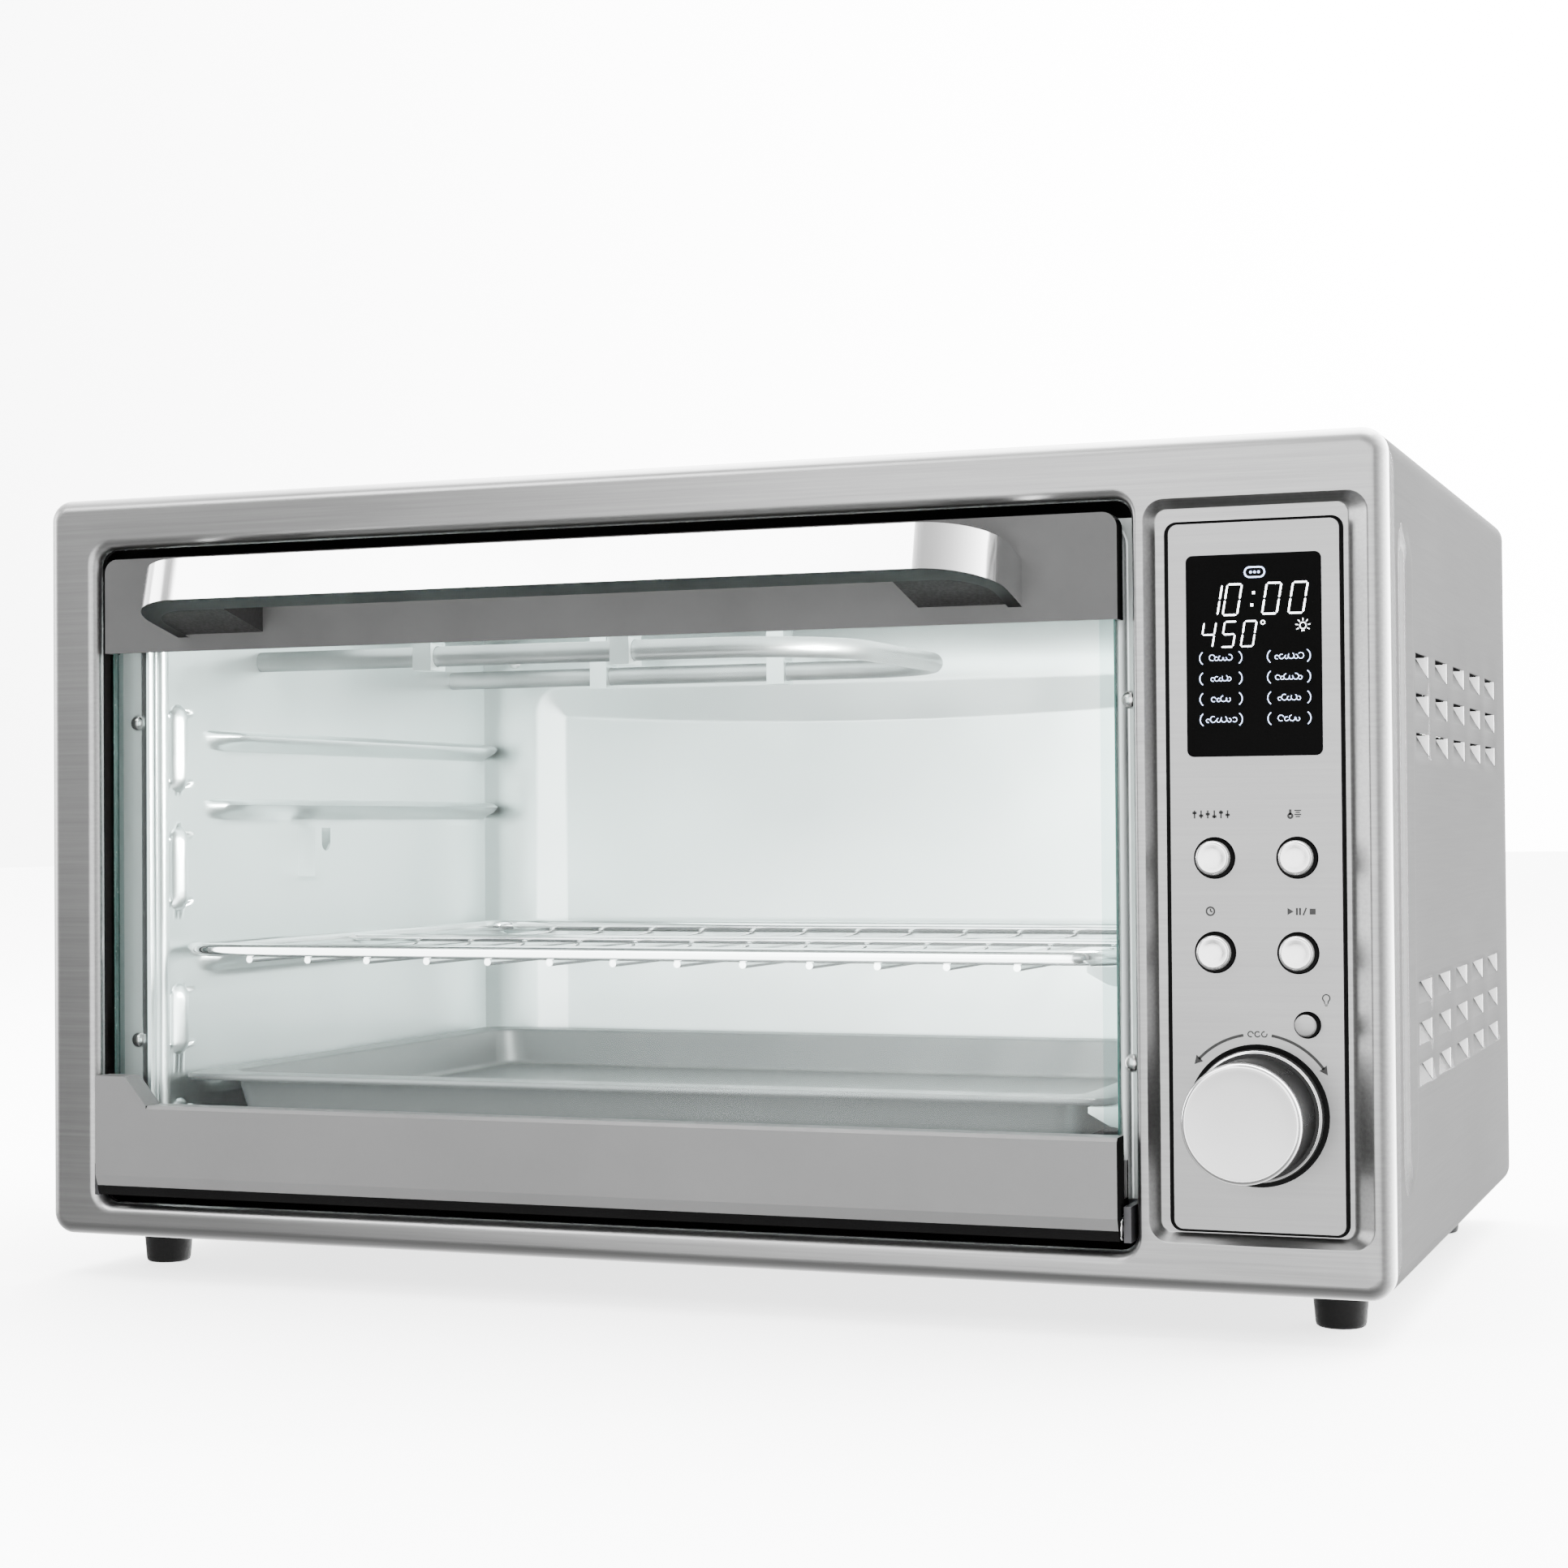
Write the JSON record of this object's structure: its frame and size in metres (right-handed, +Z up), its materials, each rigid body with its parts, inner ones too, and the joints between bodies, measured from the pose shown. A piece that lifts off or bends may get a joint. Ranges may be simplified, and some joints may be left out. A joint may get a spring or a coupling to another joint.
{
  "type": "toaster oven",
  "caption": "Countertop toaster oven with a drop-down glass door, bow handle, side control panel with display, round buttons and knob, wire rack, baking tray and louvred steel casing.",
  "frame": {"origin": "on the worktop under the middle of the whole oven", "axes": "+X to the right when facing the door, -Y out of the front, +Z up"},
  "size_m": [0.5024, 0.3536, 0.291],
  "materials": {
    "brushed_steel": "fine horizontal brushing, satin",
    "satin_rail": "smooth satin steel",
    "galvanised_steel": "dull zinc-coated sheet",
    "foot_rubber": "matt black",
    "zinc_screw": "zinc plated",
    "black_plastic": "matt black",
    "white_plastic": "natural white",
    "black_glossy_plastic": "gloss black",
    "circuit_board": "green solder mask",
    "copper_winding": "varnished copper and laminations",
    "cavity_steel": "bright aluminised sheet",
    "heater_tube": "matt heat-coloured steel",
    "white_ceramic": "unglazed",
    "polished_steel": "polished",
    "motor_steel": "dark phosphate",
    "clear_glass": "clear",
    "door_glass": "clear tempered glass, green at its edges",
    "tray_enamel": "dark grey non-stick"
  },
  "bodies": {
    "chassis": {"front_frame": "brushed_steel", "outer_wrap": "brushed_steel", "bottom_pan": "galvanised_steel", "rear_panel": "galvanised_steel", "feet": "foot_rubber", "casing_screws": "zinc_screw", "cord_gland": "black_plastic", "control_plate": "brushed_steel", "display_lens": "black_glossy_plastic", "display_module": "black_plastic", "control_board": "circuit_board", "board_screws": "zinc_screw", "tact_switches": "black_plastic", "button_guide": "white_plastic", "encoder_body": "zinc_screw", "power_board": "circuit_board", "transformer": "copper_winding", "heat_shield": "galvanised_steel", "cavity_flange": "cavity_steel", "flange_screws": "zinc_screw", "cavity_left_wall": "cavity_steel", "cavity_right_wall": "cavity_steel", "cavity_roof": "cavity_steel", "cavity_back_wall": "cavity_steel", "cavity_floor": "cavity_steel", "upper_heaters": "heater_tube", "lower_heaters": "heater_tube", "heater_end_caps": "white_ceramic", "temperature_probe": "polished_steel", "thermal_cutout": "black_plastic", "lamp_housing": "galvanised_steel", "lamp_bulb": "clear_glass", "lamp_glass": "clear_glass", "fan_guard": "cavity_steel", "fan_housing": "galvanised_steel", "fan_motor": "motor_steel", "spit_motor": "motor_steel", "spit_support": "cavity_steel", "hinge_brackets": "motor_steel", "door_springs": "polished_steel"},
    "door": {"door_glass": "door_glass", "door_top_rail": "satin_rail", "door_bottom_rail": "satin_rail", "handle_bar": "polished_steel", "handle_posts": "black_plastic", "handle_screws": "zinc_screw"},
    "knob": {"knob": "black_plastic", "knob_cap": "brushed_steel", "encoder_shaft": "zinc_screw"},
    "function_button": {"function_button": "brushed_steel"},
    "temperature_button": {"temperature_button": "brushed_steel"},
    "time_button": {"time_button": "brushed_steel"},
    "start_button": {"start_button": "brushed_steel"},
    "light_button": {"light_button": "brushed_steel"},
    "wire_rack": {"wire_rack": "polished_steel"},
    "baking_tray": {"baking_tray": "tray_enamel"},
    "crumb_tray": {"crumb_tray": "galvanised_steel"},
    "fan_blade": {"fan_blade": "galvanised_steel"},
    "spit_socket": {"spit_socket": "polished_steel"}
  },
  "joints": [
    {"name": "door_hinge", "type": "hinge", "parent": "chassis", "child": "door", "pos_m": [0, -0.13525, 0.035], "axis": [1, 0, 0], "range_deg": [0, 86], "stiffness_Nm_per_rad": 0.9, "springref_deg": -25.78},
    {"name": "rack_slide", "type": "slide", "parent": "chassis", "child": "wire_rack", "axis": [0, -1, 0], "range_m": [0, 0.095]},
    {"name": "tray_slide", "type": "slide", "parent": "chassis", "child": "baking_tray", "axis": [0, -1, 0], "range_m": [0, 0.061]},
    {"name": "crumb_tray_slide", "type": "slide", "parent": "chassis", "child": "crumb_tray", "axis": [0, 1, 0], "range_m": [0, 0.26]},
    {"name": "knob_turn", "type": "hinge", "parent": "chassis", "child": "knob", "pos_m": [0.20735, -0.13525, 0.0725], "axis": [0, -1, 0], "continuous": true},
    {"name": "function_press", "type": "slide", "parent": "chassis", "child": "function_button", "axis": [0, 1, 0], "range_m": [0, 0.001], "stiffness_N_per_m": 700, "springref_m": -0.0006},
    {"name": "temperature_press", "type": "slide", "parent": "chassis", "child": "temperature_button", "axis": [0, 1, 0], "range_m": [0, 0.001], "stiffness_N_per_m": 700, "springref_m": -0.0006},
    {"name": "time_press", "type": "slide", "parent": "chassis", "child": "time_button", "axis": [0, 1, 0], "range_m": [0, 0.001], "stiffness_N_per_m": 700, "springref_m": -0.0006},
    {"name": "start_press", "type": "slide", "parent": "chassis", "child": "start_button", "axis": [0, 1, 0], "range_m": [0, 0.001], "stiffness_N_per_m": 700, "springref_m": -0.0006},
    {"name": "light_press", "type": "slide", "parent": "chassis", "child": "light_button", "axis": [0, 1, 0], "range_m": [0, 0.001], "stiffness_N_per_m": 700, "springref_m": -0.0006},
    {"name": "fan_spin", "type": "hinge", "parent": "chassis", "child": "fan_blade", "pos_m": [0.165, 0.09115, 0.17], "axis": [1, 0, 0], "continuous": true},
    {"name": "spit_turn", "type": "hinge", "parent": "chassis", "child": "spit_socket", "pos_m": [0.165, -0.00405, 0.161], "axis": [1, 0, 0], "continuous": true}
  ],
  "couplings": [
    {"joint": "rack_slide", "follows": "door_hinge", "m_per_rad": 0.063},
    {"joint": "tray_slide", "follows": "door_hinge", "m_per_rad": 0.04}
  ]
}
